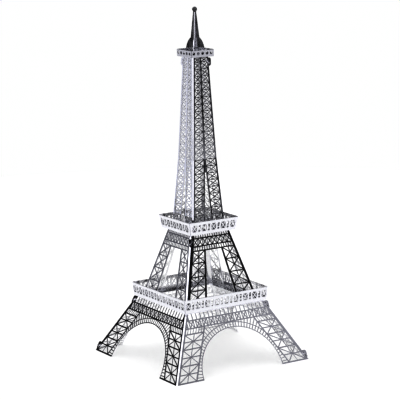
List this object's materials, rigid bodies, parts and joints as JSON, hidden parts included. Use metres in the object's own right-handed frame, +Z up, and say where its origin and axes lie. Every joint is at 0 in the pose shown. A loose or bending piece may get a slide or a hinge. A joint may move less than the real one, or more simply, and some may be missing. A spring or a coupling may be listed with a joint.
{
  "type": "miniature lattice tower model",
  "caption": "Miniature four-legged lattice tower folded from polished sheet steel, with three galleries and a spire, held together by tabs and slots.",
  "frame": {"origin": "centre of the square footprint, on the surface that the feet stand on", "axes": "+Z up along the tower's axis; +X and +Y square to the faces, with the folded corner of the front base shell towards -X -Y"},
  "size_m": [0.06, 0.06, 0.1355],
  "materials": {
    "base_steel": "polished",
    "middle_steel": "polished",
    "upper_steel": "polished",
    "platform_steel": "polished",
    "top_platform_steel": "polished",
    "spire_steel": "polished"
  },
  "bodies": {
    "root": {"base_shell_front": "base_steel", "base_shell_back": "base_steel", "lower_platform": "platform_steel", "middle_shell_right": "middle_steel", "middle_shell_left": "middle_steel", "middle_platform": "platform_steel", "upper_shell_front": "upper_steel", "upper_shell_back": "upper_steel", "top_platform": "top_platform_steel", "spire_main_plate": "spire_steel", "spire_cross_plate": "spire_steel"}
  },
  "joints": []
}
